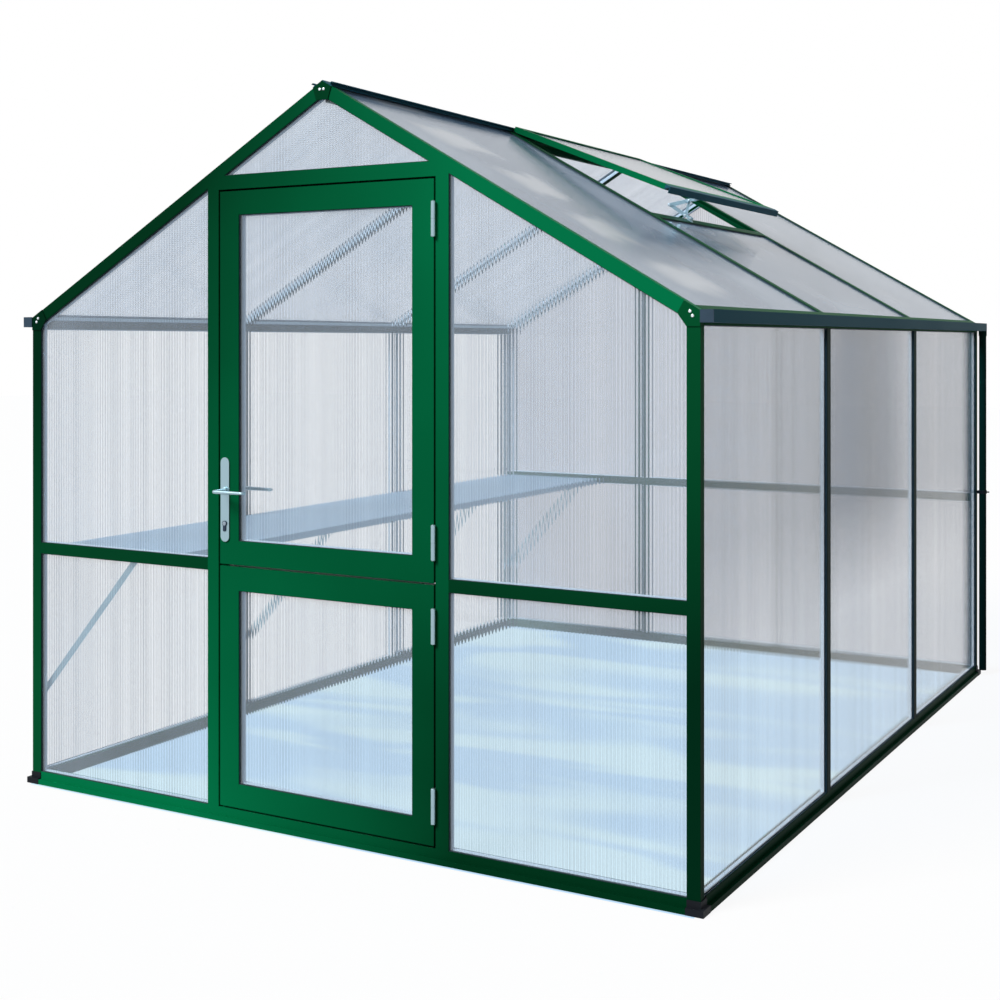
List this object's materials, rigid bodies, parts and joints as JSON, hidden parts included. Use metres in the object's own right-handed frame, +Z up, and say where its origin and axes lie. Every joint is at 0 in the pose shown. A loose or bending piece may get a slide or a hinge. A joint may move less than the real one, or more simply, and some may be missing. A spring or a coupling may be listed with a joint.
{
  "type": "greenhouse",
  "caption": "Walk-in gabled greenhouse with a green aluminium frame, twin-wall glazing, a split front door with lever handle, side gutters, an open roof vent and a shelf.",
  "frame": {"origin": "on the ground, under the middle of the whole object's box", "axes": "+X to the right along the door wall, +Y from the door wall to the rear wall, +Z up"},
  "size_m": [2.5044, 3.339, 2.2557],
  "materials": {
    "green_frame": "satin",
    "dark_trim": "satin",
    "black_moulding": "matte",
    "twin_wall_sheet": "gloss",
    "silver_hardware": "satin",
    "shelf_metal": "satin"
  },
  "bodies": {
    "frame": {"base_corners": "black_moulding", "base_front": "green_frame", "base_rear": "green_frame", "base_sides": "green_frame", "corner_posts_front": "green_frame", "corner_posts_rear": "green_frame", "door_header": "green_frame", "door_jambs": "green_frame", "downpipes": "dark_trim", "eave_rails": "green_frame", "front_mid_rails": "green_frame", "front_rafters": "green_frame", "front_sheets": "twin_wall_sheet", "gable_plates": "green_frame", "gutter_end_caps": "black_moulding", "gutters": "dark_trim", "jamb_hinge_halves": "silver_hardware", "left_roof_sheets": "twin_wall_sheet", "left_wall_sheets": "twin_wall_sheet", "pipe_clamps": "black_moulding", "rear_mid_rails": "green_frame", "rear_mullions": "green_frame", "rear_rafters": "green_frame", "rear_sheets": "twin_wall_sheet", "ridge_beam": "green_frame", "ridge_cap": "dark_trim", "right_roof_sheets": "twin_wall_sheet", "right_wall_sheets": "twin_wall_sheet", "roof_bars": "green_frame", "shelf": "shelf_metal", "shelf_struts": "silver_hardware", "vent_drip_bar": "dark_trim", "vent_frame": "green_frame", "vent_opener": "silver_hardware", "vent_sheet": "twin_wall_sheet", "vent_trimmer": "green_frame", "wall_bars": "green_frame"},
    "upper_leaf": {"upper_leaf_frame": "green_frame", "upper_leaf_sheet": "twin_wall_sheet", "upper_leaf_hinges": "silver_hardware", "lock_plates": "silver_hardware", "key_cylinder": "silver_hardware"},
    "lower_leaf": {"lower_leaf_frame": "green_frame", "lower_leaf_sheet": "twin_wall_sheet", "lower_leaf_hinges": "silver_hardware"},
    "handle": {"door_lever": "silver_hardware"}
  },
  "joints": [
    {"name": "upper_door", "type": "hinge", "parent": "frame", "child": "upper_leaf", "pos_m": [0.39315, -1.6155, 1.368], "axis": [0, 0, 1], "range_deg": [0, 110]},
    {"name": "lower_door", "type": "hinge", "parent": "frame", "child": "lower_leaf", "pos_m": [0.39315, -1.6155, 0.415], "axis": [0, 0, 1], "range_deg": [0, 110]},
    {"name": "handle_turn", "type": "hinge", "parent": "upper_leaf", "child": "handle", "pos_m": [-0.3684, -1.5905, 1.02], "axis": [0, 1, 0], "range_deg": [0, 40], "stiffness_Nm_per_rad": 1.5, "springref_deg": -28.65}
  ]
}
